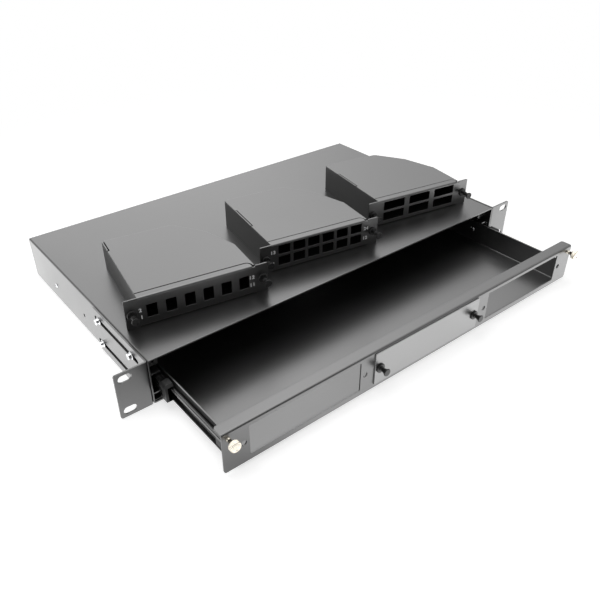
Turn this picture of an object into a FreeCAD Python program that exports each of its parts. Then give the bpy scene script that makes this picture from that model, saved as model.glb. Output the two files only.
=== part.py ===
import FreeCAD, Part
import math
import os

V = FreeCAD.Vector
os.makedirs("parts", exist_ok=True)

# Frame: X across the rack, -Y to the front, Z up. The origin is the centre of the four rack slots on
# the front plane of the ears, so a height measured from the chassis bottom is turned into Z by zb().

# Rack interface, one unit of a 19 inch rack
HOLE_SPAN_X = 465.1
HOLE_SPAN_Z = 31.75
EAR_EDGE = 8.75
RACK_W = HOLE_SPAN_X + 2 * EAR_EDGE
RACK_SLOT_L = 11.5
RACK_SLOT_H = 6.8
UNIT_H = 43.7

# Chassis sheet metal
CH_W = 425.4
CH_D = 252.5
CH_T = 1.2
CH_BEND = 0.6
CH_FLANGE = 11.0
LAP_GAP = 0.5
LAP_EDGE = CH_BEND + 0.15
BASE_SET = 1.0
BASE_LAP_END = 4.5
WALL_GAP = 0.1
REAR_FOOT_GAP = 0.4
REAR_TOP = UNIT_H - CH_T - WALL_GAP
INNER_X = CH_W / 2 - CH_T
ENTRY_IN = 62.7
ENTRY_X = CH_W / 2 - ENTRY_IN
ENTRY_L = 62.0
ENTRY_BOTTOM = 11.5
ENTRY_R = 10.0
EDGING_LAP = 2.4
EDGING_T = 1.3
EDGING_LIP = 1.2

# Rack ears, bolted to the chassis sides through long adjusting slots
EAR_T = 1.5
EAR_BEND = 0.5
EAR_LEG = 98.0
EAR_CORNER = 2.0
LEG_SLOT_Y0 = 14.5
LEG_SLOT_Y1 = 95.2
LEG_SLOT_H = 4.8
LEG_SLOT_RISE = 12.2
EAR_SCREW_Y = (26.5, 87.0)
SCREW_R = 1.9
SCREW_GAP = 0.08
PAN_R = 3.9
PAN_H = 3.9

# Ball slides: every member is a channel, sized from the gap between tray and chassis
SLIDE_DEPTH = 11.7
SLIDE_Z = 17.0
SLIDE_T = 1.0
SLIDE_BEND = 0.9
OUTER_HALF = 10.2
FLANGE_GAP = 1.5
BALL_R = 1.0
BALL_GAP = 0.03
RACE_R = 1.12
RACE_U = 8.8
OUTER_FLANGE = 10.2
MID_WEB_U = 4.0
MID_FLANGE = 10.4
INNER_BACK = 4.4
CAGE_T = 0.6
CAGE_A_WEB = 2.3
CAGE_B_WEB = 5.5
CAGE_END_U = 10.1
OUTER_Y = (3.0, 245.0)
MID_Y = (-15.0, 190.0)
INNER_Y = (-88.0, 142.0)
CAGE_A_Y = (30.0, 160.0)
CAGE_B_Y = (24.0, 115.0)
BALL_SET = (5.0, 11.0)
OUTER_SLOT_Y = (30.0, 95.0, 160.0, 225.0)
OUTER_SLOT_L = 14.0
OUTER_SLOT_H = 5.0
MID_SLOT_Y = (30.0, 100.0, 170.0)
MID_SLOT_L = 18.0
MID_SLOT_H = 7.0
RETAINER_T = 1.2
RETAINER_L = 8.0
RETAINER_CAP = 1.4
RETAINER_BEVEL = 2.2
RETAINER_NOTCH = 3.0
BUFFER_CAP = 3.8
BUFFER_PLUG = 8.0
BUFFER_GAP = 0.15
SIDE_SCREW_Y = 192.5
SIDE_HOLE_Y = 127.7
SIDE_HOLE_R = 1.7
FRONT_SCREW_Y = 60.0
LOW_HEAD_R = 3.1
LOW_HEAD_H = 0.9
REAR_HEAD_H = 1.5
SCREW_TIP = 0.6

# Drawer tray, one folded sheet; the photo shows it drawn out by PULL
PULL = 100.0
TR_T = 1.2
TR_BEND = 0.8
TRAY_HALF = INNER_X - SLIDE_DEPTH
TRAY_BOTTOM = 2.8
TRAY_WALL_TOP = 27.3
TRAY_REAR = 134.0
TRAY_REAR_H = 12.0
TRAY_REAR_LAP = 2.0
FACE_CLEAR = 1.0
FACE_HALF = INNER_X - FACE_CLEAR
FACE_TOP = 41.3
FACE_END_BOTTOM = 3.7
FACE_END_R = 2.5
FACE_STEP_OUT = 0.4
FACE_STEP_X = TRAY_HALF + FACE_STEP_OUT
LIP_D = 11.0
LIP_CHAMFER = 1.6
RELIEF = 3.2
WALL_SET = 0.3
BAY_PITCH = 133.5
BAY_W = 108.0
BAY_H = 28.4
BAY_BOTTOM = 8.8
BAY_R = 0.8
LATCH_OUT = 5.0
LATCH_DX = BAY_W / 2 + LATCH_OUT
LATCH_Z = BAY_BOTTOM + BAY_H / 2
LATCH_R = 2.4
TIE_L = 10.0
TIE_H = 3.4
TIE_X = (-150.0, -90.0, -30.0, 30.0, 90.0, 150.0)
TIE_Y = (50.0, 104.0)
RIVET_Y = (12.0, 70.0, 128.0)
RIVET_R = 1.6
RIVET_HEAD_R = 3.0
RIVET_HEAD_H = 1.0
RIVET_TAIL_R = 2.5
RIVET_TAIL_H = 0.8

# Captive thumbscrews of the drawer front
THUMB_IN = 6.3
THUMB_X = INNER_X - THUMB_IN
THUMB_Z = 35.2
THUMB_KNOB_R = 4.5
THUMB_KNOB_L = 4.2
THUMB_BEVEL = 0.6
THUMB_DISH_R = 3.2
THUMB_DISH = 0.5
THUMB_HUB_R = 2.6
THUMB_HUB_L = 1.2
THUMB_SHAFT_R = 1.8
THUMB_OUT = 6.2
THUMB_TIP = 6.8
RING_R = 3.3
RING_T = 0.6
RING_SET = 0.2
RING_GROOVE_R = 1.4
FIT = 0.06
TAB_Y = 8.6
TAB_L = 16.0
TAB_Z0 = 30.5
TAB_Z1 = 39.5
TAB_W = 10.9
TAB_COLLAR_R = 2.9
TAB_COLLAR_L = 1.4

# Push-pull latches: a grommet through the plate and a pin that spreads it
GROMMET_R = 4.3
GROMMET_H = 1.6
GROMMET_SLEEVE = 5.6
GROMMET_SLIT = 0.7
PIN_R = 1.3
PIN_HEAD_R = 3.4
PIN_FOOT_R = 2.2
PIN_NECK_R = 1.6
PIN_HEAD_L = 6.9
PIN_STROKE = 3.5

# Blanking plate in the middle bay
BLANK_HALF = BAY_W / 2 + 10.5
BLANK_Z0 = BAY_BOTTOM - 1.2
BLANK_Z1 = BAY_BOTTOM + BAY_H + 1.8
BLANK_T = 1.2
BLANK_CORNER = 0.6

# Cassettes: plate bottom centre on the chassis top, all turned the same way
CAS_POSES = ((-142.4, 34.8), (-6.0, 36.1), (134.9, 39.9))
CAS_YAW = -9.9
CAS_T = 1.2
CAS_BEND = 0.6
CAS_PLATE_HALF = 64.75
CAS_H = 28.2
CAS_BODY = ((-53.0, 0.0), (53.0, 0.0), (53.0, 44.0), (39.0, 80.0), (15.0, 108.0), (-53.0, 108.0))
CAS_BODY_R = (0.0, 0.0, 6.0, 6.0, 6.0, 2.0)
CAS_LIP = 7.3
CAS_LIP_RIGHT = 50.0
CAS_LIP_R = 4.0
CAS_SEAM = 0.7
CAS_TAB_Y = ((88.0, 108.0), (44.0, 80.0), (44.0, 80.0))
CAS_TAB_GAP = 0.3
CAS_LATCH_IN = 5.45
CAS_LATCH_DX = CAS_PLATE_HALF - CAS_LATCH_IN
CAS_LATCH_Z = CAS_H / 2
# Port patterns: column places in pitches from the middle, pitch, row heights, port width and height
SIX_COLUMNS = (-2.5, -1.5, -0.5, 0.5, 1.5, 2.5)
THREE_COLUMNS = (-1.0, 0.0, 1.0)
CAS_PORTS = (
    (SIX_COLUMNS, 16.7, (13.5,), 9.4, 12.4),
    (SIX_COLUMNS, 15.84, (9.5, 21.3), 12.6, 9.3),
    (THREE_COLUMNS, 32.8, (9.1, 21.0), 26.3, 9.4),
)
PORT_R = 0.4


def zb(height):
    """Z of a height above the chassis bottom."""
    return height - UNIT_H / 2


def box(x0, x1, y0, y1, z0, z1):
    return Part.makeBox(x1 - x0, y1 - y0, z1 - z0, V(x0, y0, z0))


def in_xz(y=0.0):
    return lambda a, b: V(a, y, b)


def in_yz(x=0.0):
    return lambda a, b: V(x, a, b)


def in_xy(z=0.0):
    return lambda a, b: V(a, b, z)


def path_edges(points, radii, to3, closed):
    """Edges of a polyline whose corners are rounded by the radius given for each point."""
    flat = [V(a, b, 0) for a, b in points]
    count = len(flat)
    marks = []
    for i, p in enumerate(flat):
        end = not closed and i in (0, count - 1)
        if end or radii[i] == 0:
            marks.append((p, None, p))
            continue
        back = (flat[i - 1] - p).normalize()
        ahead = (flat[(i + 1) % count] - p).normalize()
        half = math.acos(max(-1.0, min(1.0, back.dot(ahead)))) / 2
        reach = radii[i] / math.tan(half)
        middle = (back + ahead).normalize()
        apex = p + middle * (radii[i] / math.sin(half) - radii[i])
        marks.append((p + back * reach, apex, p + ahead * reach))
    edges = []
    for i, (start, apex, end) in enumerate(marks):
        if apex is not None:
            corner = [to3(q.x, q.y) for q in (start, apex, end)]
            edges.append(Part.Arc(*corner).toShape())
        if closed or i < count - 1:
            nxt = marks[(i + 1) % count][0]
            if (nxt - end).Length > 1e-6:
                edges.append(Part.makeLine(to3(end.x, end.y), to3(nxt.x, nxt.y)))
    return edges


def plate(points, radii, to3, run):
    """Flat plate: a closed outline with rounded corners, pulled along run."""
    if not isinstance(radii, (tuple, list)):
        radii = [radii] * len(points)
    wire = Part.Wire(path_edges(points, radii, to3, True))
    return Part.Face(wire).extrude(run)


def rect(a0, a1, b0, b1):
    return [(a0, b0), (a1, b0), (a1, b1), (a0, b1)]


def bent_sheet(points, thick, bend, to3, run):
    """Folded sheet: points is one face's line, the metal lies to its left, bend is the inner radius."""
    flat = [V(a, b, 0) for a, b in points]
    steps = [(flat[i + 1] - flat[i]).normalize() for i in range(len(flat) - 1)]
    normals = [V(-d.y, d.x, 0) for d in steps]
    other = [flat[0] + normals[0] * thick]
    near = [0.0]
    far = [0.0]
    for i in range(1, len(flat) - 1):
        n0 = normals[i - 1]
        n1 = normals[i]
        other.append(flat[i] + (n0 + n1) * (thick / (1 + n0.dot(n1))))
        left = steps[i - 1].cross(steps[i]).z > 0
        near.append(bend + thick if left else bend)
        far.append(bend if left else bend + thick)
    other.append(flat[-1] + normals[-1] * thick)
    near.append(0.0)
    far.append(0.0)
    back = [(p.x, p.y) for p in reversed(other)]
    edges = path_edges(points, near, to3, False)
    edges.append(Part.makeLine(to3(*points[-1]), to3(*back[0])))
    edges += path_edges(back, far[::-1], to3, False)
    edges.append(Part.makeLine(to3(*back[-1]), to3(*points[0])))
    return Part.Face(Part.Wire(edges)).extrude(run)


def turned(profile, origin, direction):
    """Turned piece: (radius, height) points revolved about the direction from origin."""
    points = [V(r, 0, h) for r, h in profile]
    points.append(points[0])
    solid = Part.Face(Part.makePolygon(points)).revolve(V(0, 0, 0), V(0, 0, 1), 360)
    solid.Placement = FreeCAD.Placement(origin, FreeCAD.Rotation(V(0, 0, 1), direction))
    return solid


def rod(radius, start, direction, length):
    return Part.makeCylinder(radius, length, start, direction)


def fused(first, *others):
    return first.fuse(list(others)).removeSplitter()


def mirrored(shape):
    return shape.mirror(V(0, 0, 0), V(1, 0, 0))


def both_sides(name, right):
    save(name + "_right", right)
    save(name + "_left", mirrored(right))


def save(name, shape):
    if isinstance(shape, list):
        shape = Part.makeCompound(shape)
    shape.exportStep("parts/" + name + ".step")


def low_screw(origin, direction, head_r, head_h, length):
    """Screw with a low domed head; origin is under the head and direction points along the shank."""
    profile = [
        (0, length), (SCREW_R, length), (SCREW_R, 0), (head_r, 0), (head_r, -0.42 * head_h),
        (0.86 * head_r, -0.78 * head_h), (0.5 * head_r, -0.96 * head_h), (0, -head_h)]
    return turned(profile, origin, direction)


def flange_screw(origin, direction, length):
    """Screw whose head is a thin round flange with a pan on it, placed as in low_screw."""
    rim = 0.18 * PAN_H
    pan_r = 0.82 * PAN_R
    profile = [
        (0, length), (SCREW_R, length), (SCREW_R, 0), (PAN_R, 0), (PAN_R, -0.6 * rim),
        (PAN_R - 0.4 * rim, -rim), (pan_r, -rim), (pan_r, -0.82 * PAN_H),
        (0.84 * pan_r, -0.95 * PAN_H), (0.5 * pan_r, -PAN_H), (0, -PAN_H)]
    return turned(profile, origin, direction)


# Chassis: a wrap of top and sides, a joggled base and the rear wall

def chassis_wrap():
    half = CH_W / 2
    flange = half - CH_FLANGE
    line = [(flange, zb(0)), (half, zb(0)), (half, zb(UNIT_H)), (-half, zb(UNIT_H)),
            (-half, zb(0)), (-flange, zb(0))]
    wrap = bent_sheet(line, CH_T, CH_BEND, in_xz(), V(0, CH_D, 0))
    cuts = []
    for side in (-1, 1):
        start = V(side * (half + 1), 0, 0)
        along = V(-side, 0, 0)
        for y in EAR_SCREW_Y:
            for rise in (-LEG_SLOT_RISE, LEG_SLOT_RISE):
                cuts.append(rod(SCREW_R + SCREW_GAP, start + V(0, y, rise), along, CH_T + 2))
        for y in (FRONT_SCREW_Y, SIDE_SCREW_Y):
            cuts.append(rod(SCREW_R + SCREW_GAP, start + V(0, y, zb(SLIDE_Z)), along, CH_T + 2))
        cuts.append(rod(SIDE_HOLE_R, start + V(0, SIDE_HOLE_Y, zb(SLIDE_Z)), along, CH_T + 2))
    return wrap.cut(cuts)


def chassis_base():
    flange = CH_W / 2 - CH_FLANGE
    lap = INNER_X - LAP_EDGE
    high = flange - LAP_GAP
    low = high - CH_T
    line = [(-lap, zb(CH_T)), (-high, zb(CH_T)), (-low, zb(0)), (low, zb(0)),
            (high, zb(CH_T)), (lap, zb(CH_T))]
    return bent_sheet(line, CH_T, CH_BEND, in_xz(BASE_SET), V(0, CH_D - BASE_SET - BASE_LAP_END, 0))


def chassis_rear():
    """Rear wall with a foot, welded edge to edge to the base; its two cable entries are open at the top."""
    low = CH_W / 2 - CH_FLANGE - LAP_GAP - CH_T
    top = zb(REAR_TOP)
    line = [(CH_D - BASE_LAP_END, zb(0)), (CH_D, zb(0)), (CH_D, top)]
    rear = bent_sheet(line, CH_T, CH_BEND, in_yz(-low), V(2 * low, 0, 0))
    wall = INNER_X - WALL_GAP
    foot = zb(2 * CH_T + REAR_FOOT_GAP)
    wide = plate(rect(-wall, wall, foot, top), 0, in_xz(CH_D - CH_T), V(0, CH_T, 0))
    cuts = [entry_tool(side, 0.0, CH_D - 2 * CH_T, 3 * CH_T) for side in (-1, 1)]
    return fused(rear, wide).cut(cuts)


def entry_tool(side, grow, y, depth):
    """Block on a rear cable entry, with round lower corners, grown by grow all round."""
    x = side * ENTRY_X
    a = ENTRY_L / 2 + grow
    r = ENTRY_R + grow
    outline = rect(x - a, x + a, zb(ENTRY_BOTTOM) - grow, zb(UNIT_H))
    return plate(outline, (r, r, 0, 0), in_xz(y), V(0, depth, 0))


def entry_edging(side):
    """Rubber edging of U section pushed on the edge of a cable entry."""
    full = entry_tool(side, EDGING_LAP, CH_D - CH_T - EDGING_T, CH_T + 2 * EDGING_T)
    groove = entry_tool(side, EDGING_LAP + 1, CH_D - CH_T, CH_T).cut(
        entry_tool(side, 0.0, CH_D - CH_T, CH_T))
    hole = entry_tool(side, -EDGING_LIP, CH_D - CH_T - 2 * EDGING_T, CH_T + 4 * EDGING_T)
    above = box(-CH_W, CH_W, CH_D - 10, CH_D + 10, zb(REAR_TOP), zb(UNIT_H) + 1)
    return full.cut([groove, hole, above])


def rack_ear():
    half = CH_W / 2
    line = [(half, EAR_LEG), (half, 0), (RACK_W / 2, 0)]
    low = zb(0)
    high = zb(UNIT_H)
    ear = bent_sheet(line, EAR_T, EAR_BEND, in_xy(low), V(0, 0, UNIT_H))
    flange = rect(half - 2, RACK_W / 2, low, high)
    ear = ear.common(plate(flange, (0, EAR_CORNER, EAR_CORNER, 0), in_xz(-1), V(0, EAR_LEG + 2, 0)))
    leg = rect(-1, EAR_LEG, low, high)
    ear = ear.common(plate(leg, (0, EAR_CORNER, EAR_CORNER, 0), in_yz(half - 1), V(RACK_W, 0, 0)))
    cuts = []
    for sign in (-1, 1):
        x = HOLE_SPAN_X / 2
        z = sign * HOLE_SPAN_Z / 2
        a = RACK_SLOT_L / 2
        b = RACK_SLOT_H / 2
        cuts.append(slot_tool(x - a, x + a, z - b, z + b, in_xz(-1), V(0, EAR_T + 2, 0)))
        z = sign * LEG_SLOT_RISE
        b = LEG_SLOT_H / 2
        cuts.append(slot_tool(LEG_SLOT_Y0, LEG_SLOT_Y1, z - b, z + b, in_yz(half - 1), V(EAR_T + 2, 0, 0)))
    return ear.cut(cuts)


def slot_tool(a0, a1, b0, b1, to3, run):
    """Slot with full round ends, as a straight bar and two rods."""
    radius = (b1 - b0) / 2
    middle = (b0 + b1) / 2
    bar = plate(rect(a0 + radius, a1 - radius, b0, b1), 0, to3, run)
    length = run.Length
    ends = [rod(radius, to3(a, middle), run, length) for a in (a0 + radius, a1 - radius)]
    return bar.fuse(ends)


def ear_screws():
    screws = []
    for side in (-1, 1):
        for y in EAR_SCREW_Y:
            for rise in (-LEG_SLOT_RISE, LEG_SLOT_RISE):
                seat = V(side * (CH_W / 2 + EAR_T), y, rise)
                screws.append(flange_screw(seat, V(-side, 0, 0), EAR_T + CH_T - FIT))
    return screws


def slide_screws():
    """Rear slide screws from outside, front ones from inside so that they clear the ear leg."""
    screws = []
    for side in (-1, 1):
        seat = V(side * CH_W / 2, SIDE_SCREW_Y, zb(SLIDE_Z))
        through = CH_T + SLIDE_T + SCREW_TIP
        screws.append(low_screw(seat, V(-side, 0, 0), LOW_HEAD_R, REAR_HEAD_H, through))
        seat = V(side * (INNER_X - SLIDE_T), FRONT_SCREW_Y, zb(SLIDE_Z))
        screws.append(low_screw(seat, V(side, 0, 0), LOW_HEAD_R, LOW_HEAD_H, CH_T + SLIDE_T - FIT))
    return screws


def screw_tab():
    """Angle inside the mouth, above the slide, with a drawn threaded collar for the thumbscrew."""
    line = [(INNER_X - TAB_W, TAB_Y), (INNER_X, TAB_Y), (INNER_X, TAB_Y + TAB_L)]
    tab = bent_sheet(line, CH_T, CH_BEND, in_xy(zb(TAB_Z0)), V(0, 0, TAB_Z1 - TAB_Z0))
    seat = V(THUMB_X, TAB_Y + CH_T, zb(THUMB_Z))
    tab = fused(tab, rod(TAB_COLLAR_R, seat, V(0, 1, 0), TAB_COLLAR_L))
    hole = rod(THUMB_SHAFT_R + FIT, V(THUMB_X, TAB_Y - 1, zb(THUMB_Z)), V(0, 1, 0), 6)
    return tab.cut(hole)


# Ball slides, in (u, z): u is the distance from the chassis wall's inner face

def on_slide(y):
    return lambda u, z: V(INNER_X - u, y, zb(SLIDE_Z) + z)


def channel(open_u, web_u, half, thick, bend, span):
    """Channel section along Y with its web at web_u and its flanges running to open_u."""
    line = [(open_u, half), (web_u, half), (web_u, -half), (open_u, -half)]
    if open_u < web_u:
        line.reverse()
    return bent_sheet(line, thick, bend, on_slide(span[0]), V(0, span[1] - span[0], 0))


MID_HALF = OUTER_HALF - SLIDE_T - FLANGE_GAP
INNER_HALF = MID_HALF - SLIDE_T - FLANGE_GAP
ROW_A = OUTER_HALF - SLIDE_T - FLANGE_GAP / 2
ROW_B = MID_HALF - SLIDE_T - FLANGE_GAP / 2
RACE_OFF = RACE_R - BALL_R - BALL_GAP


def race(row, outward, span):
    """Raceway of slightly larger radius than the ball, on both flanges; outward is +1 on its far side."""
    cuts = []
    for sign in (-1, 1):
        start = on_slide(span[0] - 1)(RACE_U, sign * (row - outward * RACE_OFF))
        cuts.append(rod(RACE_R, start, V(0, 1, 0), span[1] - span[0] + 2))
    return cuts


def slide_outer():
    member = channel(OUTER_FLANGE, 0.0, OUTER_HALF, SLIDE_T, SLIDE_BEND, OUTER_Y)
    cuts = race(ROW_A, 1, OUTER_Y)
    for y in (FRONT_SCREW_Y, SIDE_SCREW_Y):
        cuts.append(rod(SCREW_R + SCREW_GAP, on_slide(y)(-0.5, 0), V(-1, 0, 0), SLIDE_T + 1))
    for y in OUTER_SLOT_Y:
        cuts.append(web_slot(y, OUTER_SLOT_L, OUTER_SLOT_H, -0.5))
    return member.cut(cuts)


def web_slot(y, length, height, u):
    """Mounting slot through a slide web, along Y."""
    middle = zb(SLIDE_Z)
    x = INNER_X - u - SLIDE_T - 1
    return slot_tool(y - length / 2, y + length / 2, middle - height / 2, middle + height / 2,
                     in_yz(x), V(SLIDE_T + 1, 0, 0))


def slide_mid():
    member = channel(MID_FLANGE, MID_WEB_U, MID_HALF, SLIDE_T, SLIDE_BEND, MID_Y)
    cuts = race(ROW_A, -1, MID_Y) + race(ROW_B, 1, MID_Y)
    for y in MID_SLOT_Y:
        cuts.append(web_slot(y, MID_SLOT_L, MID_SLOT_H, MID_WEB_U - 0.5))
    return member.cut(cuts)


def slide_inner():
    member = channel(SLIDE_DEPTH - INNER_BACK, SLIDE_DEPTH, INNER_HALF, SLIDE_T, SLIDE_BEND / 2, INNER_Y)
    cuts = race(ROW_B, -1, INNER_Y)
    for y in RIVET_Y:
        cuts.append(rod(RIVET_R + FIT, V(TRAY_HALF - 1, y, zb(SLIDE_Z)), V(1, 0, 0), SLIDE_T + 2))
    return member.cut(cuts)


def ball_spots(span, row):
    ys = [span[0] + d for d in BALL_SET] + [span[1] - d for d in reversed(BALL_SET)]
    return [on_slide(y)(RACE_U, sign * row) for y in ys for sign in (-1, 1)]


def ball_cage(web_u, row, span):
    """Thin channel strip between two members, pierced for its balls."""
    cage = channel(CAGE_END_U, web_u, row + CAGE_T / 2, CAGE_T, CAGE_T / 2, span)
    spots = ball_spots(span, row)
    return cage.cut([rod(BALL_R + BALL_GAP, p - V(0, 0, 2 * CAGE_T), V(0, 0, 1), 4 * CAGE_T) for p in spots])


def balls(row, span):
    return [Part.makeSphere(BALL_R, p) for p in ball_spots(span, row)]


def slide_retainer():
    """Plastic cap pushed over the front end of the middle member."""
    front = MID_Y[0] - RETAINER_CAP
    span = (front, MID_Y[0] + RETAINER_L)
    web_u = MID_WEB_U - RETAINER_T
    bend = SLIDE_BEND + SLIDE_T
    half = MID_HALF + RETAINER_T
    shell = channel(MID_FLANGE, web_u, half, RETAINER_T, bend, span)
    cap = channel(MID_FLANGE, MID_WEB_U, MID_HALF, SLIDE_T, SLIDE_BEND, (front, MID_Y[0]))
    nose = [(front, half - RETAINER_BEVEL), (front, half + 1), (front + RETAINER_BEVEL, half + 1),
            (front + RETAINER_BEVEL, half)]
    cuts = []
    for sign in (-1, 1):
        slope = [(y, zb(SLIDE_Z) + sign * z) for y, z in nose]
        cuts.append(plate(slope, 0, in_yz(INNER_X - MID_FLANGE - 1), V(MID_FLANGE + 1, 0, 0)))
    end = span[1]
    notch = rect(end - RETAINER_NOTCH, end + 1, zb(SLIDE_Z) - half / 2, zb(SLIDE_Z) + half / 2)
    cuts.append(plate(notch, (1.0, 0, 0, 1.0), in_yz(INNER_X - MID_WEB_U), V(RETAINER_T + 1, 0, 0)))
    return fused(shell, cap).cut(cuts)


def slide_buffer():
    """Plastic stop in the front end of the inner member: a cap and a plug in the channel."""
    near = SLIDE_DEPTH - INNER_BACK
    cap = plate(rect(near, SLIDE_DEPTH - FIT, -INNER_HALF, INNER_HALF), 0.5,
                on_slide(INNER_Y[0] - BUFFER_CAP), V(0, BUFFER_CAP, 0))
    deep = SLIDE_DEPTH - SLIDE_T - BUFFER_GAP
    high = INNER_HALF - SLIDE_T - BUFFER_GAP
    plug = plate(rect(near + 0.4, deep, -high, high), 0.4,
                 on_slide(INNER_Y[0] - 1), V(0, BUFFER_PLUG + 1, 0))
    return fused(cap, plug)


# Drawer tray: floor, side walls, bay front and folded lip in one sheet

def drawer_tray():
    front = -PULL
    low = zb(TRAY_BOTTOM)
    top = zb(FACE_TOP)
    wall = zb(TRAY_WALL_TOP)
    line = [(-TRAY_HALF, wall), (-TRAY_HALF, low), (TRAY_HALF, low), (TRAY_HALF, wall)]
    body_y = front + TR_T + WALL_SET
    body = bent_sheet(line, TR_T, TR_BEND, in_xz(body_y), V(0, TRAY_REAR - TRAY_REAR_LAP - body_y, 0))
    notches = []
    for side in (-1, 1):
        x0 = side * (TRAY_HALF - RELIEF)
        x1 = side * (TRAY_HALF + 1)
        notches.append(box(min(x0, x1), max(x0, x1), front, front + RELIEF + 1, low - 1, low + RELIEF))
        rear = TRAY_REAR - RELIEF - 1
        notches.append(box(min(x0, x1), max(x0, x1), rear, TRAY_REAR, low - 1, low + RELIEF))
    body = body.cut(notches)

    line = [(front + LIP_D, top), (front, top), (front, zb(FACE_END_BOTTOM))]
    face = bent_sheet(line, TR_T, TR_BEND, in_yz(-FACE_HALF), V(2 * FACE_HALF, 0, 0))
    ends = rect(-FACE_HALF, FACE_HALF, zb(FACE_END_BOTTOM), top)
    face = face.common(plate(ends, (FACE_END_R, FACE_END_R, 0, 0), in_xz(front - 1), V(0, LIP_D + 2, 0)))
    rear = front + LIP_D
    lip = [(-FACE_HALF, front - 1), (FACE_HALF, front - 1), (FACE_HALF, rear - LIP_CHAMFER),
           (FACE_HALF - LIP_CHAMFER, rear), (LIP_CHAMFER - FACE_HALF, rear), (-FACE_HALF, rear - LIP_CHAMFER)]
    face = face.common(plate(lip, 0, in_xy(zb(0)), V(0, 0, UNIT_H)))

    line = [(front, zb(BAY_BOTTOM)), (front, low), (front + 4, low)]
    bottom_fold = bent_sheet(line, TR_T, TR_BEND, in_yz(-FACE_STEP_X), V(2 * FACE_STEP_X, 0, 0))
    line = [(TRAY_REAR - 5, low), (TRAY_REAR, low), (TRAY_REAR, low + TRAY_REAR_H)]
    rear_half = TRAY_HALF - RELIEF
    rear_fold = bent_sheet(line, TR_T, TR_BEND, in_yz(-rear_half), V(2 * rear_half, 0, 0))

    cuts = []
    through = V(0, 3 * TR_T, 0)
    for bay in (-1, 0, 1):
        x = bay * BAY_PITCH
        opening = rect(x - BAY_W / 2, x + BAY_W / 2, zb(BAY_BOTTOM), zb(BAY_BOTTOM + BAY_H))
        cuts.append(plate(opening, BAY_R, in_xz(front - TR_T), through))
        for sign in (-1, 1):
            hole = V(x + sign * LATCH_DX, front - TR_T, zb(LATCH_Z))
            cuts.append(rod(LATCH_R, hole, V(0, 1, 0), 3 * TR_T))
    for side in (-1, 1):
        hole = V(side * THUMB_X, front - TR_T, zb(THUMB_Z))
        cuts.append(rod(THUMB_SHAFT_R + FIT, hole, V(0, 1, 0), 3 * TR_T))
        for y in RIVET_Y:
            hole = V(side * (TRAY_HALF + 1), y, zb(SLIDE_Z))
            cuts.append(rod(RIVET_R + FIT, hole, V(-side, 0, 0), TR_T + 2))
    for x in TIE_X:
        for y in TIE_Y:
            cuts.append(slot_tool(x - TIE_L / 2, x + TIE_L / 2, y - TIE_H / 2, y + TIE_H / 2,
                                  in_xy(low - 1), V(0, 0, TR_T + 2)))
    return fused(body, face, bottom_fold, rear_fold).cut(cuts)


def tray_rivets():
    """Rivets that hold the inner slide members to the tray walls, with set tails in the channel."""
    rivets = []
    grip = TR_T + SLIDE_T
    profile = [(0, grip + RIVET_TAIL_H), (RIVET_TAIL_R * 0.7, grip + RIVET_TAIL_H), (RIVET_TAIL_R, grip),
               (RIVET_R, grip), (RIVET_R, 0), (RIVET_HEAD_R, 0), (RIVET_HEAD_R * 0.7, -RIVET_HEAD_H * 0.8),
               (0, -RIVET_HEAD_H)]
    for side in (-1, 1):
        for y in RIVET_Y:
            seat = V(side * (TRAY_HALF - TR_T), y, zb(SLIDE_Z))
            rivets.append(turned(profile, seat, V(side, 0, 0)))
    return rivets


# Captive thumbscrews, shown drawn out

RING_Y = -PULL + TR_T + RING_SET


def thumbscrew():
    """Short knob with a dished end, a hub and a shaft whose groove holds the retaining ring."""
    knob = -PULL - THUMB_OUT
    end = knob - THUMB_KNOB_L
    groove0 = RING_Y - FIT
    groove1 = RING_Y + RING_T + FIT
    tip = -PULL + TR_T + THUMB_TIP
    r = THUMB_KNOB_R
    bevel = THUMB_BEVEL
    profile = [
        (0, tip), (THUMB_SHAFT_R - bevel, tip), (THUMB_SHAFT_R, tip - bevel), (THUMB_SHAFT_R, groove1),
        (RING_GROOVE_R, groove1), (RING_GROOVE_R, groove0), (THUMB_SHAFT_R, groove0),
        (THUMB_SHAFT_R, knob + THUMB_HUB_L), (THUMB_HUB_R, knob + THUMB_HUB_L), (THUMB_HUB_R, knob),
        (r - bevel, knob), (r, knob - bevel), (r, end + bevel), (r - bevel, end), (THUMB_DISH_R, end),
        (THUMB_DISH_R - THUMB_DISH, end + THUMB_DISH), (0, end + THUMB_DISH)]
    return turned(profile, V(THUMB_X, 0, zb(THUMB_Z)), V(0, 1, 0))


def thumb_ring():
    outer = rod(RING_R, V(THUMB_X, RING_Y, zb(THUMB_Z)), V(0, 1, 0), RING_T)
    bore = rod(RING_GROOVE_R + FIT, V(THUMB_X, RING_Y - 1, zb(THUMB_Z)), V(0, 1, 0), RING_T + 2)
    mouth = RING_GROOVE_R * 1.3
    gap = box(THUMB_X - mouth / 2, THUMB_X + mouth / 2, RING_Y - 1, RING_Y + RING_T + 1,
              zb(THUMB_Z) - RING_R - 1, zb(THUMB_Z))
    return outer.cut([bore, gap])


# Push-pull latches, built at the origin and looking along -Y

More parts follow.
